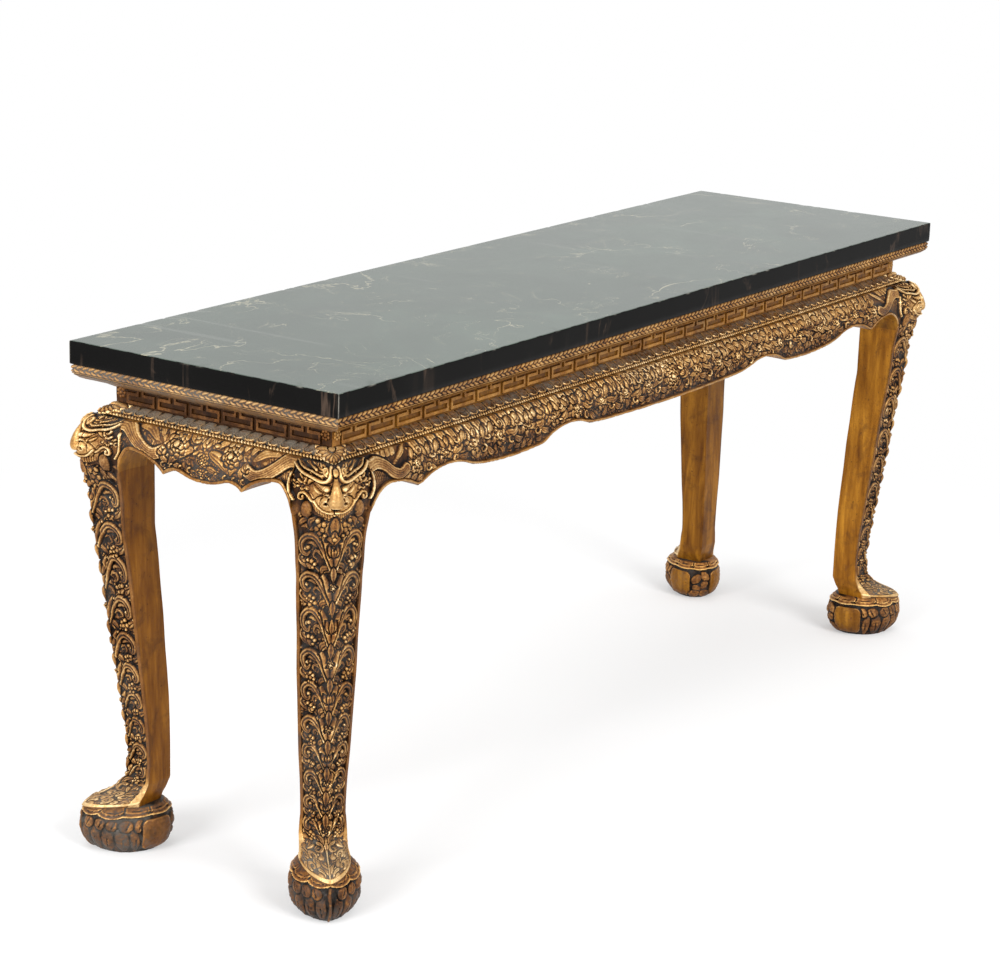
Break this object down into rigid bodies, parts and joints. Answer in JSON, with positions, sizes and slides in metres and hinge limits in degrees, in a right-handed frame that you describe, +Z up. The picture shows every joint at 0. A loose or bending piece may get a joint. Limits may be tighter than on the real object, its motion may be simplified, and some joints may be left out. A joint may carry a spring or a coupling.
{
  "type": "pier table",
  "caption": "Long marble-topped side table on a carved gilt wood stand with a key-fret frieze, scalloped aprons and cabriole legs on paw feet.",
  "frame": {"origin": "on the floor under the middle of the table", "axes": "+X along the table, +Y towards the wall side, +Z up"},
  "size_m": [1.9464, 0.5464, 0.86],
  "materials": {
    "marble": "polished black marble with pale veins",
    "carved_gilding": "carved wood with aged water gilding",
    "worn_gilding": "carved wood with gilding worn to brown",
    "bare_wood": "bare old softwood",
    "steel": "dull old steel"
  },
  "bodies": {
    "root": {"marble_top": "marble", "rim_moulding_front": "carved_gilding", "frieze_front": "carved_gilding", "shoulder_front": "carved_gilding", "apron_front": "carved_gilding", "rim_moulding_right": "carved_gilding", "frieze_right": "carved_gilding", "shoulder_right": "carved_gilding", "apron_right": "carved_gilding", "rim_moulding_back": "carved_gilding", "frieze_back": "carved_gilding", "shoulder_back": "carved_gilding", "apron_back": "carved_gilding", "rim_moulding_left": "carved_gilding", "frieze_left": "carved_gilding", "shoulder_left": "carved_gilding", "apron_left": "carved_gilding", "leg_front_left": "carved_gilding", "paw_foot_front_left": "worn_gilding", "corner_block_front_left": "bare_wood", "leg_front_right": "carved_gilding", "paw_foot_front_right": "worn_gilding", "corner_block_front_right": "bare_wood", "leg_back_right": "carved_gilding", "paw_foot_back_right": "worn_gilding", "corner_block_back_right": "bare_wood", "leg_back_left": "carved_gilding", "paw_foot_back_left": "worn_gilding", "corner_block_back_left": "bare_wood", "slab_bearer_left": "bare_wood", "slab_bearer_middle": "bare_wood", "slab_bearer_right": "bare_wood", "foot_dowels": "bare_wood", "tenon_pegs": "bare_wood", "bearer_screws": "steel"}
  },
  "joints": []
}
